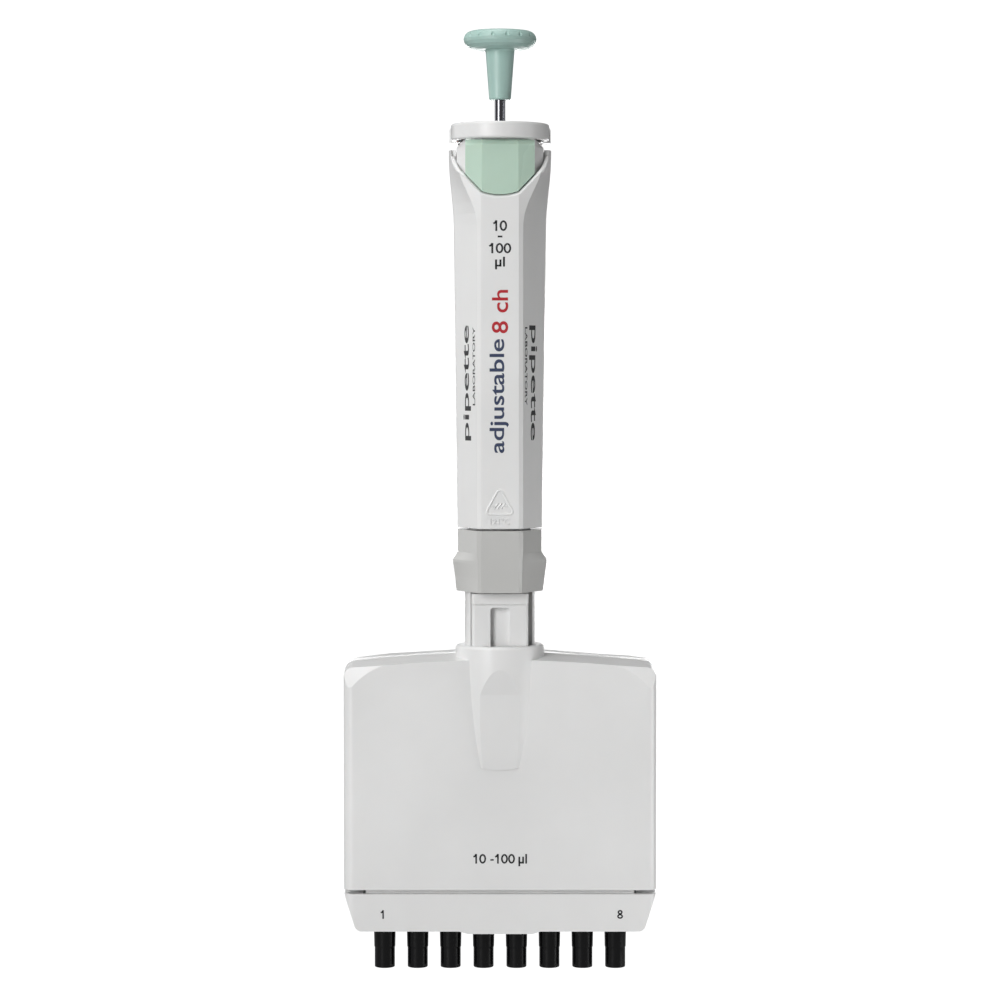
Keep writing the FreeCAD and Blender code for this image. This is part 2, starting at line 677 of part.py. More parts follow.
SLIDE_HALF = 7.65
SLIDE_Y = (-7.9, -5.2)
LIP_BOTTOM = 99.9
SLIDE_TOP = 102.7
SLIDE_BOTTOM = 76.0
YOKE_Y = (-6.7, -5.2)            # thin plate below the slide, in front of the pistons
INNER_FRONT = -4.8               # chassis and cylinder block stay behind this plane


def slide_prism(grow, z0, z1):
    """Outline of the slide with its front edges rounded, grown by a clearance."""
    block = box(-SLIDE_HALF - grow, SLIDE_HALF + grow, SLIDE_Y[0] - grow, SLIDE_Y[1] + grow, z0, z1)
    upright = edges_near(block, lambda p: p.y < SLIDE_Y[0] + 0.01 and abs(p.x) > SLIDE_HALF - 0.01
                         and z0 + 1 < p.z < z1 - 1)
    return block.makeFillet(0.9, upright)


def slide_well():
    """Way through the neck for the ejector slide."""
    return slide_prism(GAP, SLIDE_BOTTOM - EJECT_TRAVEL - 0.5, 95)


def manifold_covers():
    """Both covers in one piece: panel, sides, arched top, neck and nose rib."""
    outer = without(manifold_block(), *corner_scoops())
    neck = rod(NECK_R, RIB_TOP - 0.5, NECK_TOP)
    top_rim = [e for e in neck.Edges if e.BoundBox.ZMin > NECK_TOP - 0.1]
    neck = neck.makeFillet(0.9, top_rim)
    outer = joined(outer, neck, nose_rib())
    hollow = manifold_block(COVER_WALL)
    neck_bore = rod(SHAFT_R + 0.02, 70, 95)
    return without(outer, hollow, neck_bore, slide_well())


COVER_SCREWS = [(-27.0, 76.5), (27.0, 76.5), (-37.0, 52.0), (37.0, 52.0)]
COVER_BOSS_R = 2.3
COVER_SCREW_R = 1.0
SCREW_SEAT = COVER_BACK - 1.7    # underside of the heads, sunk in the rear cover


def front_cover(covers):
    """Front half of the covers, with a blind screw boss at each corner."""
    part = covers.common(box(-60, 60, -40, COVER_SPLIT, 0, 100))
    bosses = []
    for x, z in COVER_SCREWS:
        boss = level_rod(COVER_BOSS_R, x, z, COVER_FRONT + 1.0, COVER_SPLIT + 0.8)
        bosses.append(boss.cut(level_rod(COVER_SCREW_R, x, z, COVER_FRONT + 4.0, 10)))
    return joined(part, *bosses)


def rear_cover(covers):
    """Rear half of the covers, counterbored for the screw heads."""
    part = covers.common(box(-60, 60, COVER_SPLIT, 40, 0, 100))
    pads = [level_rod(3.2, x, z, COVER_BACK - 3.2, COVER_BACK) for x, z in COVER_SCREWS]
    holes = [level_rod(1.6, x, z, COVER_BACK - 5, COVER_BACK + 5) for x, z in COVER_SCREWS]
    seats = [level_rod(2.5, x, z, SCREW_SEAT, COVER_BACK + 1) for x, z in COVER_SCREWS]
    return without(joined(part, *pads), *holes, *seats)


def cover_screws():
    screws = []
    for x, z in COVER_SCREWS:
        shank = level_rod(COVER_SCREW_R, x, z, COVER_FRONT + 5.6, SCREW_SEAT)
        head = level_rod(2.4, x, z, SCREW_SEAT, SCREW_SEAT + 1.3)
        recess = level_rod(0.75, x, z, SCREW_SEAT + 0.6, SCREW_SEAT + 1.4)
        screws.append(joined(shank, head).cut(recess))
    return Part.makeCompound(screws)


BLOCK_Z = (23.0, 46.0)
BLOCK_HALF = 37.8
BLOCK_BACK = 6.6


def cylinder_block():
    """Block with the eight cylinders and, above each, the seat of its seal."""
    block = box(-BLOCK_HALF, BLOCK_HALF, INNER_FRONT, BLOCK_BACK, *BLOCK_Z)
    bores = []
    for x in channel_xs():
        bores.append(rod(PISTON_R + RUN, 10, 60, x))
        bores.append(rod(2.95, 44.4, 60, x))
    return without(block, *bores)


def seal_plate():
    plate = box(-BLOCK_HALF, BLOCK_HALF, INNER_FRONT, BLOCK_BACK, 46.0, 48.0)
    holes = [rod(PISTON_R + RUN, 40, 60, x) for x in channel_xs()]
    guides = [rod(1.5, 40, 60, x) for x in GUIDE_XS]
    return without(plate, *holes, *guides)


def piston_seals():
    return Part.makeCompound([Part.makeTorus(2.36, 0.55, Vector(x, 0, 45.2)) for x in channel_xs()])


GUIDE_XS = (-18.0, 18.0)
BEAM_Z = (69.2, 72.0)


def manifold_frame():
    """Chassis: a beam above the crossbar and two posts beside the cylinder block."""
    beam = box(-40.2, 40.2, INNER_FRONT, 8.0, *BEAM_Z)
    posts = [box(s * 39.2 - 1.0, s * 39.2 + 1.0, INNER_FRONT, 8.0, BLOCK_Z[0], BEAM_Z[1]) for s in (-1, 1)]
    holes = [rod(BORE_R, 60, 80)] + [rod(1.5, 60, 80, x) for x in GUIDE_XS]
    holes += [level_rod(COVER_BOSS_R + GAP, x, z, -20, 20) for x, z in COVER_SCREWS]
    return without(joined(beam, *posts), *holes)


def guide_rods():
    return Part.makeCompound([rod(1.5, 46.0, BEAM_Z[1], x) for x in GUIDE_XS])


def shaft_tube():
    """Hollow shaft: foot on the chassis, visible barrel, and the spigot in the swivel bush."""
    foot = box(-16, 16, INNER_FRONT, 8.0, BEAM_Z[1], 75.0)
    barrel = rod(SHAFT_R, 75.0 - 0.5, BARREL_STEP).fuse(rod(UPPER_BARREL_R, 100, HANDLE_BOTTOM - 0.1))
    spigot = rod(SPIGOT_R, HANDLE_BOTTOM - 1, 131.0)
    groove = tube(SPIGOT_R + 1, SPIGOT_R - 0.5, 128.6, 130.0)
    way_top = COLLAR_BOTTOM + 2.5
    slide_way = box(-SLIDE_HALF - GAP, SLIDE_HALF + 1.1, -20, SLIDE_Y[1] + GAP, 60.0, way_top)
    side_slot = box(SLIDE_HALF - 0.05, SLIDE_HALF + 1.1, -20, -2.0, 75.0, way_top)
    return without(joined(foot, barrel, spigot), slide_way, side_slot, rod(BORE_R, 60, 140), groove)


def retaining_ring():
    ring = tube(8.6, SPIGOT_R - 0.5, 128.65, 129.95)
    return ring.cut(box(-0.9, 0.9, 0, 20, 120, 140))


CONE_SEAT_R = 2.75               # where the tip is pressed on
CONE_R = 3.0


def tip_cone(x):
    """Cone that carries a tip: cylindrical seat, a small step and a slight taper."""
    seat = CONE_SEAT_R
    profile = [(1.0, 0.0), (seat - 0.25, 0.0), (seat - 0.07, 0.08), (seat, 0.28), (seat, 5.4),
               (seat + 0.13, 5.7), (CONE_R, 12.0), (CONE_R, COVER_BOTTOM - 0.9),
               (3.9, COVER_BOTTOM - 0.1), (3.9, BLOCK_Z[0]), (1.0, BLOCK_Z[0])]
    return turned(profile, (x, 0))


# ---------------------------------------------------------------- pistons
CROSSBAR_Z = (62.0, 67.0)
PISTON_END = 38.5


def crossbar():
    bar = box(-34.2, 34.2, -4.6, 4.6, *CROSSBAR_Z)
    seats = [rod(PISTON_R, 60, 65.0, x) for x in channel_xs()]
    guides = [rod(1.5 + RUN, 60, 70, x) for x in GUIDE_XS]
    return without(bar, *seats, *guides)


def crossbar_column():
    return rod(BORE_R - RUN, CROSSBAR_Z[1], FOOT_END - 0.2)


def piston(x):
    return rod(PISTON_R, PISTON_END, 65.0, x)


# ---------------------------------------------------------------- ejector, lower part
TRAY_FLOOR = 13.4


def ejector_slide():
    """Slide in front of the shaft, with the yoke that reaches down to the ejector bar."""
    slide = slide_prism(0.0, SLIDE_BOTTOM, LIP_BOTTOM + 0.5)
    lip = box(-SLIDE_HALF - 0.05, SLIDE_HALF + 0.05, SLIDE_Y[0] - 0.8, SLIDE_Y[1], LIP_BOTTOM, SLIDE_TOP)
    upright = edges_near(lip, lambda p: p.y < SLIDE_Y[0] and LIP_BOTTOM + 1 < p.z < SLIDE_TOP - 1)
    lip = lip.makeFillet(0.75, upright)
    slot = box(-2.6, 2.6, SLIDE_Y[0] - 1, SLIDE_Y[1] - 0.7, SLIDE_BOTTOM + 4, LIP_BOTTOM - 1.0)
    slot = slot.makeFillet(0.9, edges_near(slot, lambda p: p.z > LIP_BOTTOM - 1.1 and abs(p.x) > 2.5))
    yoke = box(-SLIDE_HALF, SLIDE_HALF, *YOKE_Y, TRAY_FLOOR, SLIDE_BOTTOM + 0.5)
    arms = box(-36.4, 36.4, *YOKE_Y, TRAY_FLOOR, 30.0)
    return joined(slide, lip, yoke, arms).cut(slot)


def ejector_bar():
    """Bar that slides over the cones: an open tray with one hole for each cone."""
    low_half, high_half = 38.9, 42.25
    edge = 1.5
    outline = [
        line((-high_half, 0, BAR_TOP), (high_half, 0, BAR_TOP)),
        line((high_half, 0, BAR_TOP), (low_half + 0.5, 0, BAR_BOTTOM + edge)),
        arc((low_half + 0.5, 0, BAR_BOTTOM + edge), (low_half - 0.3, 0, BAR_BOTTOM + 0.35),
            (low_half - edge, 0, BAR_BOTTOM)),
        line((low_half - edge, 0, BAR_BOTTOM), (11.0, 0, BAR_BOTTOM)),
        line((11.0, 0, BAR_BOTTOM), (8.8, 0, BAR_BOTTOM - 0.65)),
        line((8.8, 0, BAR_BOTTOM - 0.65), (-8.8, 0, BAR_BOTTOM - 0.65)),
        line((-8.8, 0, BAR_BOTTOM - 0.65), (-11.0, 0, BAR_BOTTOM)),
        line((-11.0, 0, BAR_BOTTOM), (-low_half + edge, 0, BAR_BOTTOM)),
        arc((-low_half + edge, 0, BAR_BOTTOM), (-low_half + 0.3, 0, BAR_BOTTOM + 0.35),
            (-low_half - 0.5, 0, BAR_BOTTOM + edge)),
        line((-low_half - 0.5, 0, BAR_BOTTOM + edge), (-high_half, 0, BAR_TOP)),
    ]
    slab = plate_xz(outline, COVER_FRONT + 0.1, COVER_BACK - 0.1)
    plan = rounded_rectangle(high_half, COVER_FRONT + 0.1, COVER_BACK - 0.1, EDGE_R, 0, 40)
    tray = rounded_rectangle(37.2, YOKE_Y[0] - 0.05, COVER_BACK - 1.9, 0.8, TRAY_FLOOR, 40)
    holes = [rod(CONE_R + 0.35, 0, 20, x) for x in channel_xs()]
    return without(slab.common(plan), tray, *holes)


# ---------------------------------------------------------------- build
def build():
    os.makedirs("parts", exist_ok=True)
    export("front_shell", front_shell())
    export("rear_shell", rear_shell())
    export("shell_screws", shell_screws())
    export("finger_hook", finger_hook())
    export("upper_core", upper_core())
    export("colour_insert", colour_insert())
    export("top_cap", top_cap())
    export("volume_window", volume_window())
    export("mechanism_frame", mechanism_frame())
    export("thrust_ring", tube(FRAME_BORE, SLEEVE_R + RUN, 209.6, 210.9))
    export("pinion_axle", rod(0.5, 167.0, 182.0, *PINION_AT))
    export("spring_seat", spring_seat())
    export("swivel_bush", swivel_bush())

    export("plunger_foot", plunger_foot())
    export("return_spring", coil(5.2, 0.45, 133.4, FOOT_FLANGE[0], 5))
    export("push_button", push_button())
    export("operating_rod", operating_rod())
    export("drive_pin", drive_pin_shape(0.7, 4.9))
    export("stop_ring", stop_ring())
    export("volume_sleeve", volume_sleeve())
    export("units_drum", number_drum(DRUM_ZS["units_drum"], SLEEVE_R))
    export("tens_drum", number_drum(DRUM_ZS["tens_drum"], SLEEVE_R + RUN))
    export("hundreds_drum", number_drum(DRUM_ZS["hundreds_drum"], SLEEVE_R + RUN))
    export("carry_pinions", carry_pinions())
    export("stop_nut", stop_nut())
    export("blowout_spring", coil(4.9, 0.4, NUT_TOP, STOP_RING[0] - MEASURE_STROKE, 2))

    export("ejector_button", ejector_button())
    export("ejector_rod", ejector_rod())
    export("ejector_collar", ejector_collar())
    export("ejector_spring", coil(
        EJECT_SPRING_R, EJECT_SPRING_WIRE, EJECT_SPRING_LOW, BUTTON_STEM_LOW, 9, EJECT_ROD_AT))

    covers = manifold_covers()
    export("manifold_front_cover", front_cover(covers))
    export("manifold_rear_cover", rear_cover(covers))
    export("cover_screws", cover_screws())
    export("manifold_frame", manifold_frame())
    export("cylinder_block", cylinder_block())
    export("seal_plate", seal_plate())
    export("piston_seals", piston_seals())
    export("guide_rods", guide_rods())
    export("shaft_tube", shaft_tube())
    export("retaining_ring", retaining_ring())
    export("crossbar", crossbar())
    export("crossbar_column", crossbar_column())
    export("ejector_slide", ejector_slide())
    export("ejector_bar", ejector_bar())
    for number, x in enumerate(channel_xs(), 1):
        export(f"tip_cone_{number}", tip_cone(x))
        export(f"piston_{number}", piston(x))


build()
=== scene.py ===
"""Looks of the eight-channel pipette: materials, printed marks, studio and camera.

Metres, in the same frame as the CAD: +Z up the shaft, +X along the row of cones, front towards -Y.
"""
import json
import math

import bpy
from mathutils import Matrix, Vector


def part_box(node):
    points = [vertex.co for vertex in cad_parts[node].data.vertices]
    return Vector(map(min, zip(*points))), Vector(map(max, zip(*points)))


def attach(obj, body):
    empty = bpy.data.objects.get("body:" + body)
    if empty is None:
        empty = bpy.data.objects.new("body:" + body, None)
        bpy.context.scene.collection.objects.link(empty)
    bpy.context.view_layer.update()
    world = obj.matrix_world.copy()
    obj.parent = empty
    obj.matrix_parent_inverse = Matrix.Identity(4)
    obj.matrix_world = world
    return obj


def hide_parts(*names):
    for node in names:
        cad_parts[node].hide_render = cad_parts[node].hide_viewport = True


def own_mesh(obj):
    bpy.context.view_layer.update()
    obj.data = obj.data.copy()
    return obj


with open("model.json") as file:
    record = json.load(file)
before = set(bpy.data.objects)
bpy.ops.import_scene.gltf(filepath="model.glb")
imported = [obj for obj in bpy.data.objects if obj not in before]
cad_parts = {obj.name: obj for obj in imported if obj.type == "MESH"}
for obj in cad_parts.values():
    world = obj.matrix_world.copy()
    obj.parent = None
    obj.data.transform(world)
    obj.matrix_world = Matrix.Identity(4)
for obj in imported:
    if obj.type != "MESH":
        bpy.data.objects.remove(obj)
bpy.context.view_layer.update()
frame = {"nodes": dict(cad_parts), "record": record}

NODES = frame["nodes"]
MM = 0.001


def added(name, data):
    """A new object in the scene."""
    obj = bpy.data.objects.new(name, data)
    bpy.context.scene.collection.objects.link(obj)
    return obj


# ---------------------------------------------------------------- materials
NOISE_SPAN = (0.3, 0.7)          # nearly all of a noise's values lie between these


class Look:
    """A Principled material with helpers for procedural detail in object space."""

    def __init__(self, name, color, roughness):
        self.material = bpy.data.materials.new(name)
        self.material.use_nodes = True
        self.tree = self.material.node_tree
        self.shader = self.tree.nodes["Principled BSDF"]
        self.shader.inputs["Base Color"].default_value = (*color, 1)
        self.shader.inputs["Roughness"].default_value = roughness
        self.place = self.tree.nodes.new("ShaderNodeTexCoord").outputs["Object"]

    def set(self, **values):
        for name, value in values.items():
            self.shader.inputs[name.replace("_", " ")].default_value = value
        return self

    def noise(self, scale, detail=3.0, stretch=None, distortion=0.0):
        node = self.tree.nodes.new("ShaderNodeTexNoise")
        node.inputs["Scale"].default_value = scale
        node.inputs["Detail"].default_value = detail
        node.inputs["Distortion"].default_value = distortion
        place = self.place
        if stretch:
            mapping = self.tree.nodes.new("ShaderNodeMapping")
            mapping.inputs["Scale"].default_value = stretch
            self.tree.links.new(place, mapping.inputs["Vector"])
            place = mapping.outputs["Vector"]
        self.tree.links.new(place, node.inputs["Vector"])
        return node.outputs["Fac"]

    def ramp(self, value, low, high, at=(0.35, 0.65)):
        node = self.tree.nodes.new("ShaderNodeValToRGB")
        for element, position, color in zip(node.color_ramp.elements, at, (low, high)):
            element.position = position
            element.color = (*color, 1)
        self.tree.links.new(value, node.inputs["Fac"])
        return node.outputs["Color"]

    def spread(self, value, low, high):
        node = self.tree.nodes.new("ShaderNodeMapRange")
        node.inputs["From Min"].default_value, node.inputs["From Max"].default_value = NOISE_SPAN
        node.inputs["To Min"].default_value = low
        node.inputs["To Max"].default_value = high
        self.tree.links.new(value, node.inputs["Value"])
        return node.outputs["Result"]

    def color(self, value):
        self.tree.links.new(value, self.shader.inputs["Base Color"])
        return self

    def roughness(self, value):
        self.tree.links.new(value, self.shader.inputs["Roughness"])
        return self

    def bump(self, value, strength, distance):
        node = self.tree.nodes.new("ShaderNodeBump")
        node.inputs["Strength"].default_value = strength
        node.inputs["Distance"].default_value = distance
        previous = self.shader.inputs["Normal"].links
        if previous:
            self.tree.links.new(previous[0].from_socket, node.inputs["Normal"])
        self.tree.links.new(value, node.inputs["Height"])
        self.tree.links.new(node.outputs["Normal"], self.shader.inputs["Normal"])
        return self


def tinted(color, factor):
    return tuple(min(1.0, c * factor) for c in color)


def moulded_plastic(name, color, roughness, grain=1.0, subsurface=0.0, smears=1.0):
    """Satin moulded plastic: spark-eroded grain, slow tone drift, faint handling marks."""
    look = Look(name, color, roughness)
    drift = look.noise(28.0, 4.0)
    look.color(look.ramp(drift, tinted(color, 0.965), tinted(color, 1.02)))
    smear = look.noise(160.0, 5.0, stretch=(1.0, 1.0, 0.35), distortion=0.6)
    look.roughness(look.spread(smear, roughness - 0.05 * smears, roughness + 0.07 * smears))
    look.bump(look.noise(4200.0, 2.0), 0.12 * grain, 0.00006)
    look.bump(look.noise(95.0, 2.0), 0.05, 0.0004)
    if subsurface:
        look.set(Subsurface_Weight=subsurface, Subsurface_Scale=0.0015)
        look.shader.inputs["Subsurface Radius"].default_value = (1.0, 0.8, 0.7)
    return look


def turned_metal(name, color, roughness, streaks=900.0):
    """Turned or drawn metal with fine rings across its length."""
    look = Look(name, color, roughness).set(Metallic=1.0)
    rings = look.noise(streaks, 3.0, stretch=(0.05, 0.05, 1.0))
    look.roughness(look.spread(rings, roughness * 0.7, roughness * 1.4))
    look.bump(rings, 0.15, 0.00005)
    stains = look.noise(60.0, 4.0)
    look.color(look.ramp(stains, tinted(color, 0.9), tinted(color, 1.05)))
    return look


WHITE = (0.80, 0.80, 0.795)
COLLAR_GREY = (0.55, 0.55, 0.535)
MINT = (0.41, 0.59, 0.54)
MINT_INSERT = (0.52, 0.68, 0.57)


def make_materials():
    looks = {
        "white_shell": moulded_plastic("white_shell", WHITE, 0.36, subsurface=0.05),
        "grey_white": moulded_plastic("grey_white", COLLAR_GREY, 0.3, 0.3, smears=0.2).set(
            IOR=1.75),
        "mint_insert": moulded_plastic("mint_insert", MINT_INSERT, 0.24, 0.3, subsurface=0.25),
        "mint_button": moulded_plastic("mint_button", MINT, 0.38, subsurface=0.1),
        "inner_plastic": moulded_plastic("inner_plastic", (0.42, 0.43, 0.45), 0.45),
        "drum_white": moulded_plastic("drum_white", (0.86, 0.86, 0.85), 0.4),
        "black_cone": moulded_plastic("black_cone", (0.003, 0.003, 0.0034), 0.12, 0.05).set(
            Specular_IOR_Level=0.35),
        "seal_rubber": moulded_plastic("seal_rubber", (0.02, 0.02, 0.02), 0.6),
        "ink": moulded_plastic("ink", (0.012, 0.012, 0.014), 0.45, 0.5),
        "ink_navy": moulded_plastic("ink_navy", (0.03, 0.045, 0.10), 0.45, 0.5),
        "ink_red": moulded_plastic("ink_red", (0.45, 0.012, 0.02), 0.45, 0.5),
        "steel": turned_metal("steel", (0.62, 0.62, 0.63), 0.25),
        "chrome_rod": turned_metal("chrome_rod", (0.30, 0.30, 0.33), 0.08, 1500.0),
        "piston_steel": turned_metal("piston_steel", (0.72, 0.72, 0.73), 0.15, 1500.0),
        "brass_thread": turned_metal("brass_thread", (0.78, 0.60, 0.30), 0.28),
        "alu_frame": turned_metal("alu_frame", (0.75, 0.76, 0.77), 0.35, 300.0),
    }
    clear = Look("clear_window", (0.86, 0.9, 0.89), 0.06)
    clear.set(Alpha=0.14, IOR=1.49)
    clear.roughness(clear.spread(clear.noise(300.0, 4.0), 0.03, 0.09))
    clear.bump(clear.noise(400.0, 3.0), 0.03, 0.0001)
    looks["clear_window"] = clear
    return {name: look.material for name, look in looks.items()}


MATERIALS = make_materials()


def dress_cad_nodes():
    """Gives each carried-over CAD node the procedural look of its record slot."""
    for part in frame["record"]["subparts"]:
        node = NODES[part["node"]]
        material = MATERIALS[part["material_slot"]]
        if not node.material_slots:
            node.data.materials.append(material)
        for place in node.material_slots:
            place.material = material


dress_cad_nodes()


# ---------------------------------------------------------------- springs
WIRE_SIDES = 10
TURN_STEPS = 28
END_CLOSING = 0.6                # how far the end turns close up: 0 not at all, 1 fully


def coil_spring(node, body, wire, turns):
    """Steel coil in place of a CAD spring, riding on the given body."""
    low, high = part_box(node)
    axis = (low + high) / 2
    radius = (high.x - low.x) / 2 - wire
    rise = high.z - low.z - 2 * wire
    steps = int(turns * TURN_STEPS)
    verts, faces = [], []
    for k in range(steps + 1):
        share = k / steps
        eased = share - math.sin(2 * math.pi * share) / (2 * math.pi) * END_CLOSING
        angle = 2 * math.pi * turns * share
        out = Vector((math.cos(angle), math.sin(angle), 0))
        centre = Vector((axis.x, axis.y, low.z + wire + rise * eased)) + out * radius
        for j in range(WIRE_SIDES):
            turn = 2 * math.pi * j / WIRE_SIDES
            verts.append(centre + out * wire * math.cos(turn)
                         + Vector((0, 0, wire * math.sin(turn))))
    for k in range(steps):
        a, b = k * WIRE_SIDES, (k + 1) * WIRE_SIDES
        faces += [(a + j, b + j, b + (j + 1) % WIRE_SIDES, a + (j + 1) % WIRE_SIDES)
                  for j in range(WIRE_SIDES)]
    faces += [tuple(range(WIRE_SIDES)),
              tuple(steps * WIRE_SIDES + j for j in reversed(range(WIRE_SIDES)))]
    mesh = bpy.data.meshes.new(node + "_coil")
    mesh.from_pydata(verts, [], faces)
    mesh.polygons.foreach_set("use_smooth", [True] * len(mesh.polygons))
    mesh.materials.append(MATERIALS["steel"])
    obj = added(node + "_coil", mesh)
    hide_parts(node)
    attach(obj, body)
    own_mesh(obj)


coil_spring("return_spring", "handle", 0.45 * MM, 5)
coil_spring("blowout_spring", "stop", 0.4 * MM, 2)
coil_spring("ejector_spring", "handle", 0.2 * MM, 9)


# ---------------------------------------------------------------- printed and moulded marks
PRINT_LIFT = 0.02 * MM           # ink stands this far out of the surface
MOULD_LIFT = 0.3 * MM            # raised moulded lines stand this far out
SINK = 0.01 * MM                 # every mark reaches this far into the surface

# bold figures as strokes of their middle lines: cap height 1, stroke width STROKE
STROKE = 0.17
HALF = STROKE / 2
RING_STEPS = 24
BOWL_STEPS = 10
BOLDER = 0.012                   # outward growth of the built-in font's outlines


def ring(cx, cy, rx, ry):
    turn = 2 * math.pi / RING_STEPS
    return [(cx + rx * math.cos(turn * k), cy + ry * math.sin(turn * k)) for k in range(RING_STEPS)]


def bowl(cx, cy, rx, ry):
    turn = math.pi / BOWL_STEPS
    return [(cx - rx * math.cos(turn * k), cy - ry * math.sin(turn * k))
            for k in range(BOWL_STEPS + 1)]


# each figure: its advance and its strokes, of which the closed ones are marked True;
# "u" stands for the micro sign
FIGURES = {
    "1": (0.66, [([(0.07, 0.70), (0.24, 0.78), (0.345, 0.985)], False),
                 ([(0.345, 1.0), (0.345, 0.0)], False)]),
    "0": (0.70, [(ring(0.33, 0.5, 0.255, 0.5 - HALF), True)]),
    "8": (0.70, [(ring(0.33, 0.745, 0.2, 0.255 - HALF), True),
                 (ring(0.33, 0.28, 0.245, 0.28 - HALF), True)]),
    "-": (0.50, [([(0.10, 0.38), (0.42, 0.38)], False)]),
    "u": (0.68, [([(0.10, 0.72), (0.10, -0.28)], False),
                 (bowl(0.29, 0.22, 0.19, 0.22 - HALF), False),
                 ([(0.48, 0.72), (0.48, 0.0)], False)]),
    "l": (0.34, [([(0.10, 1.0), (0.10, 0.0)], False)]),
    " ": (0.30, []),
}


def stroke_plan(line, closed, width):
    """Left and right edges of a stroke along a line, with mitred bends."""
    count = len(line)
    left, right = [], []
    for k, (x, y) in enumerate(line):
        back = line[(k - 1) % count] if closed or k > 0 else None
        ahead = line[(k + 1) % count] if closed or k < count - 1 else None
        turns = []
        legs = [(back, (x, y))] * bool(back) + [((x, y), ahead)] * bool(ahead)
        for (ax, ay), (bx, by) in legs:
            length = math.hypot(bx - ax, by - ay)
            turns.append(Vector((-(by - ay) / length, (bx - ax) / length)))
        side = sum(turns, Vector((0, 0))).normalized()
        side = side * (width / 2) / max(0.5, side.dot(turns[0]))
        left.append((x + side.x, y + side.y))
        right.append((x - side.x, y - side.y))
    return left, right


def stroke_faces(line, closed, width, verts, faces, crown=0.0):
    """Adds one stroke as a low bar: a flat or crowned top, two sides and its ends."""
    left, right = stroke_plan(line, closed, width)
    first = len(verts)
    edge = 1.0 - crown
    for (lx, ly), (x, y), (rx, ry) in zip(left, line, right):
        verts += [(lx, ly, 0.0), (lx, ly, edge), (x, y, 1.0), (rx, ry, edge), (rx, ry, 0.0)]
    count = len(line)
    for k in range(count if closed else count - 1):
        a, b = first + 5 * k, first + 5 * ((k + 1) % count)
        faces += [(a + j, a + j + 1, b + j + 1, b + j) for j in range(4)]
    if not closed:
        end = first + 5 * (count - 1)
        faces += [tuple(first + j for j in reversed(range(5))), tuple(end + j for j in range(5))]


def figures(words):
    """A plan of bold figures from x = 0 on, 0 high at the foot of their bars and 1 on top."""
    verts, faces = [], []
    x = 0.0
    for letter in words:
        advance, strokes = FIGURES[letter]
        for line, closed in strokes:
            stroke_faces([(x + px, py) for px, py in line], closed, STROKE, verts, faces)
        x += advance
    return verts, faces


def lettering(words):
    """A plan of the built-in font's lettering, 0 high at its foot and 1 on top."""
    curve = bpy.data.curves.new("lettering", "FONT")
    curve.body = words
    curve.extrude = 0.5
    curve.offset = BOLDER
    curve.resolution_u = 5
    maker = added("lettering", curve)
    bpy.context.view_layer.update()
    evaluated = maker.evaluated_get(bpy.context.evaluated_depsgraph_get())
    mesh = bpy.data.meshes.new_from_object(evaluated)
    bpy.data.objects.remove(maker)
    verts = [(v.co.x, v.co.y, v.co.z + 0.5) for v in mesh.vertices]
    faces = [tuple(face.vertices) for face in mesh.polygons]
    bpy.data.meshes.remove(mesh)
    return verts, faces


def mark(name, plan, size, place, body, look, lift=PRINT_LIFT):
    """A mark whose plan's box is scaled to `size` (width, height) and put down by `place`.

    A width or height of None follows from the other.
    """
    verts, faces = plan
    xs = [v[0] for v in verts]
    ys = [v[1] for v in verts]
    wide, high = max(xs) - min(xs), max(ys) - min(ys)
    width, height = size
    scale = (width or height * wide / high) / wide, (height or width * high / wide) / high
    middle = (max(xs) + min(xs)) / 2, (max(ys) + min(ys)) / 2
    placed = [place((x - middle[0]) * scale[0], (y - middle[1]) * scale[1],
                    -SINK + z * (lift + SINK))
              for x, y, z in verts]
    mesh = bpy.data.meshes.new(name)
    mesh.from_pydata(placed, [], faces)
    mesh.validate()
    obj = added(name, mesh)
    mesh.materials.append(MATERIALS[look])
    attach(obj, body)


def on_front(x, y, z, upright=True):
    """Places a plan on a face that looks towards -Y, centred at a point in metres."""
    def place(u, v, out):
        across, up = (u, v) if upright else (-v, u)
        return x + across, y - out, z + up
    return place


GRIP_FOOT_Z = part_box("front_shell")[0].z
# upright edges of the grip's side facets, as in the CAD
FACET_FRONT = (6.2 * MM, -11.4 * MM)
FACET_BACK_Y = -1.0 * MM
FACET_BACK_X = (11.35 * MM, 12.35 * MM)  # at the foot of the grip and where its flare begins
FLARE_Z = 202.0 * MM


def on_side_facet(side, z, along):
    """Places a plan on a side facet, reading upwards on the left and downwards on the right."""
    def place(u, v, out):
        height = z - side * u
        share = (height - GRIP_FOOT_Z) / (FLARE_Z - GRIP_FOOT_Z)
        back_x = FACET_BACK_X[0] + share * (FACET_BACK_X[1] - FACET_BACK_X[0])
        across = Vector((back_x - FACET_FRONT[0], FACET_BACK_Y - FACET_FRONT[1])).normalized()
        normal = Vector((across.y, -across.x))
        spot = Vector(FACET_FRONT) + across * (along + v) + normal * out
        return (side * spot.x, spot.y, height)
    return place


def round_drum(radius, angle, z):
    """Places a plan on a drum, centred at an angle from +Y.

    A row of drums reads from the bottom up.
    """
    def place(u, v, out):
        at = angle - v / radius
        return (-(radius + out) * math.sin(at), (radius + out) * math.cos(at), z + u)
    return place


BAR_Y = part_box("ejector_bar")[0].y
PANEL_Y = BAR_Y - 0.1 * MM
GRIP_FRONT_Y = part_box("front_shell")[0].y
DRUM_R = (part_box("tens_drum")[1].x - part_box("tens_drum")[0].x) / 2


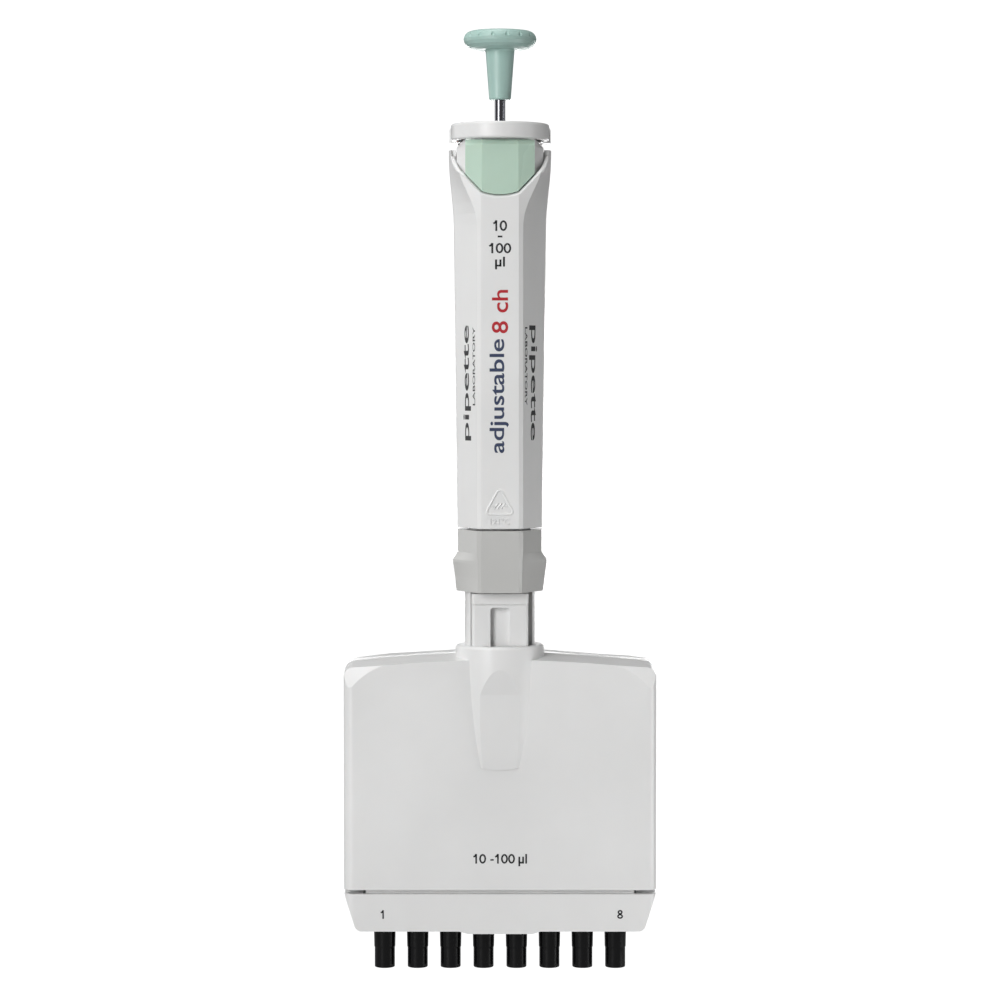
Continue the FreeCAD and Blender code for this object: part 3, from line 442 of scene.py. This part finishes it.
# lines of the volume range on the grip: words, height of the middle, width and height
GRIP_RANGE = [("10", 201.56 * MM, (3.8 * MM, 2.9 * MM)),
              ("-", 198.63 * MM, (1.25 * MM, 0.48 * MM)),
              ("100", 195.56 * MM, (6.0 * MM, 2.8 * MM)),
              ("ul", 191.56 * MM, (2.65 * MM, 3.35 * MM))]
# words along the grip: where their middle is, and their length and height
DESCRIPTOR_X, DESCRIPTOR_Z, DESCRIPTOR_SIZE = -0.2 * MM, 156.0 * MM, (30.5 * MM, 5.2 * MM)
CHANNELS_Z, CHANNELS_SIZE = 178.6 * MM, (11.6 * MM, 4.4 * MM)
TITLE_Z, TITLE_ALONG, TITLE_SIZE = 159.5 * MM, 5.6 * MM, (31.0 * MM, 4.4 * MM)
LINE_Z, LINE_ALONG, LINE_SIZE = 164.0 * MM, 1.7 * MM, (21.0 * MM, 1.3 * MM)
# figures on the manifold and on the ejector bar
RANGE_Z, RANGE_SIZE = 30.61 * MM, (14.6 * MM, 3.4 * MM)
END_FIGURES = [("channel_first", "1", -31.9 * MM), ("channel_last", "8", 32.5 * MM)]
END_FIGURE_Z, END_FIGURE_HEIGHT = 15.8 * MM, 2.4 * MM


def printed(name, plan, size, place, body, look="ink"):
    """An ink mark, in the ink look unless another is given."""
    mark(name, plan, size, place, body, look)


def printed_marks():
    for number, (words, z, size) in enumerate(GRIP_RANGE):
        printed(f"grip_range_{number}", figures(words), size,
                on_front(0, GRIP_FRONT_Y, z), "handle")
    printed("grip_descriptor", lettering("adjustable"), DESCRIPTOR_SIZE,
            on_front(DESCRIPTOR_X, GRIP_FRONT_Y, DESCRIPTOR_Z, upright=False),
            "handle", "ink_navy")
    printed("grip_channels", lettering("8 ch"), CHANNELS_SIZE,
            on_front(0, GRIP_FRONT_Y, CHANNELS_Z, upright=False), "handle", "ink_red")
    for name, side in (("left", -1), ("right", 1)):
        printed(f"{name}_facet_title", lettering("pipette"), TITLE_SIZE,
                on_side_facet(side, TITLE_Z, TITLE_ALONG), "handle")
        printed(f"{name}_facet_line", lettering("LABORATORY"), LINE_SIZE,
                on_side_facet(side, LINE_Z, LINE_ALONG), "handle")
    printed("manifold_range", figures("10 -100 ul"), RANGE_SIZE,
            on_front(0, PANEL_Y, RANGE_Z), "manifold")
    for name, words, x in END_FIGURES:
        printed(name, figures(words), (None, END_FIGURE_HEIGHT),
                on_front(x, BAR_Y, END_FIGURE_Z), "ejector_lower")


# the moulded sign's plan, in millimetres on the grip's front
SIGN_CORNERS = [((-2.75, 124.75), 150), ((2.75, 124.75), 270), ((0.0, 129.8), 30)]
CORNER_R = 0.85
CORNER_STEPS, CORNER_STEP = 6, 20        # each corner turns 120 degrees
SIGN_LINE, STEAM_LINE = 0.55, 0.34       # widths of the strokes
CROWN = 0.4                              # share of a moulded line's height that slopes
SIGN_X = -0.1 * MM
SIGN_Z, SIGN_WIDTH = 127.5 * MM, 7.4 * MM
TEMPERATURE_Z, TEMPERATURE_SIZE = 122.4 * MM, (5.3 * MM, 1.75 * MM)


def steam_sign():
    """Moulded sign low on the grip: steam in a rounded triangle, and the temperature below."""
    outline = []
    for (x, z), start in SIGN_CORNERS:
        for k in range(CORNER_STEPS + 1):
            angle = math.radians(start + CORNER_STEP * k)
            outline.append((x + CORNER_R * math.cos(angle), z + CORNER_R * math.sin(angle)))
    verts, faces = [], []
    stroke_faces(outline, True, SIGN_LINE, verts, faces, CROWN)
    for x in (-1.0, 0.0, 1.0):
        wave = [(x + 0.28 * math.sin(2.6 * t) + 0.25 * t, 126.3 + 0.85 * t)
                for t in (-1, -0.6, -0.2, 0.2, 0.6, 1)]
        stroke_faces(wave, False, STEAM_LINE, verts, faces, CROWN)
    for start, end in ((-2.1, -1.4), (1.4, 2.1)):
        stroke_faces([(start, 126.2), (end, 126.2)], False, STEAM_LINE, verts, faces, CROWN)
    mark("steam_sign", (verts, faces), (SIGN_WIDTH, None),
         on_front(SIGN_X, GRIP_FRONT_Y, SIGN_Z),
         "handle", "white_shell", MOULD_LIFT)
    mark("steam_temperature", lettering("121\u00b0C"), TEMPERATURE_SIZE,
         on_front(SIGN_X, GRIP_FRONT_Y, TEMPERATURE_Z),
         "handle", "white_shell", MOULD_LIFT)


# counter drums: node, body and the digit behind the window at rest
DRUMS = [("units_drum", "sleeve", 0), ("tens_drum", "tens", 0), ("hundreds_drum", "hundreds", 1)]
DIGITS = 10
DIGIT_HEIGHT = 3.1 * MM
DIGIT_DROP = 0.3 * MM            # below the drum's middle


def drum_digits():
    """Ten digits round each counter drum, the one behind the window first."""
    for node, body, shown in DRUMS:
        low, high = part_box(node)
        z = (low.z + high.z) / 2 - DIGIT_DROP
        for step in range(DIGITS):
            digit = str((shown + step) % DIGITS)
            printed(f"{node}_{step}", lettering(digit), (None, DIGIT_HEIGHT),
                    round_drum(DRUM_R, math.radians(360 / DIGITS * step), z), body)


printed_marks()
steam_sign()
drum_digits()


# ---------------------------------------------------------------- studio and camera
FRAME_WIDTH = 0.272              # how much of the shaft's plane the frame takes in
EYE = Vector((0.0, -0.85, 0.161))
AIM = Vector((0.0, 0.0, 0.12769))
SENSOR = 36.0
BACKDROP = 1.1                   # just over white, so that it stays even
SKY = 0.13
FLOOR_Z = -0.03
FLOOR_REACH = 6.0
FLOOR_TONE = (0.3, 0.3, 0.3)
MIDDLE = (0, 0, 0.13)
# soft boxes: place, what they face, width and height, watts
LIGHTS = {
    "key": ((-0.64, -1.03, 0.42), MIDDLE, (0.4, 0.9), 11.2),
    "top_light": ((-0.15, -0.1, 1.2), MIDDLE, (0.6, 0.6), 6.0),
    "rim_right": ((1.0, 0.45, 0.3), MIDDLE, (0.3, 0.9), 0.7),
    "rim_left": ((-0.95, 0.62, 0.3), MIDDLE, (0.5, 0.9), 1.6),
    "back_fill": ((0.1, 1.0, 0.1), MIDDLE, (0.6, 0.22), 2.6),
    "strip_right": ((0.96, -0.28, 0.15), MIDDLE, (0.035, 0.8), 0.7),
    "low_card": ((0.22, -0.05, 0.03), (0.03, 0, 0.05), (0.1, 0.1), 0.16),
}


def make_camera():
    data = bpy.data.cameras.new("camera")
    data.sensor_width = SENSOR
    data.lens = SENSOR * (AIM - EYE).length / FRAME_WIDTH
    camera = added("camera", data)
    camera.location = EYE
    camera.rotation_euler = (AIM - EYE).to_track_quat("-Z", "Y").to_euler()
    bpy.context.scene.camera = camera


def soft_box(name, at, aim, size, power):
    data = bpy.data.lights.new(name, "AREA")
    data.shape = "RECTANGLE"
    data.size, data.size_y = size
    data.energy = power
    lamp = added(name, data)
    lamp.location = at
    lamp.rotation_euler = (Vector(aim) - Vector(at)).to_track_quat("-Z", "Y").to_euler()


def white_for_camera(tree, shade, output):
    """Pure white where the camera looks straight at it, `shade` for every other ray."""
    white = tree.nodes.new("ShaderNodeEmission")
    white.inputs["Color"].default_value = (1, 1, 1, 1)
    white.inputs["Strength"].default_value = BACKDROP
    rays = tree.nodes.new("ShaderNodeLightPath")
    mix = tree.nodes.new("ShaderNodeMixShader")
    tree.links.new(rays.outputs["Is Camera Ray"], mix.inputs[0])
    tree.links.new(shade, mix.inputs[1])
    tree.links.new(white.outputs[0], mix.inputs[2])
    tree.links.new(mix.outputs[0], output)


def make_floor():
    mesh = bpy.data.meshes.new("floor")
    corners = [(x * FLOOR_REACH, y * FLOOR_REACH, 0)
               for x, y in ((-1, -1), (1, -1), (1, 1), (-1, 1))]
    mesh.from_pydata(corners, [], [(0, 1, 2, 3)])
    floor = added("floor", mesh)
    floor.location.z = FLOOR_Z
    look = Look("studio_floor", FLOOR_TONE, 0.7)
    look.color(look.ramp(look.noise(3.0), tinted(FLOOR_TONE, 0.98), FLOOR_TONE))
    output = look.tree.nodes["Material Output"].inputs["Surface"]
    white_for_camera(look.tree, look.shader.outputs[0], output)
    mesh.materials.append(look.material)


def make_studio():
    scene = bpy.context.scene
    scene.view_settings.view_transform = "Standard"
    world = bpy.data.worlds.new("studio")
    scene.world = world
    world.use_nodes = True
    sky = world.node_tree.nodes["Background"]
    sky.inputs["Color"].default_value = (1, 1, 1, 1)
    sky.inputs["Strength"].default_value = SKY
    surface = world.node_tree.nodes["World Output"].inputs["Surface"]
    white_for_camera(world.node_tree, sky.outputs[0], surface)
    for name, light in LIGHTS.items():
        soft_box(name, *light)
    make_floor()


make_camera()
make_studio()
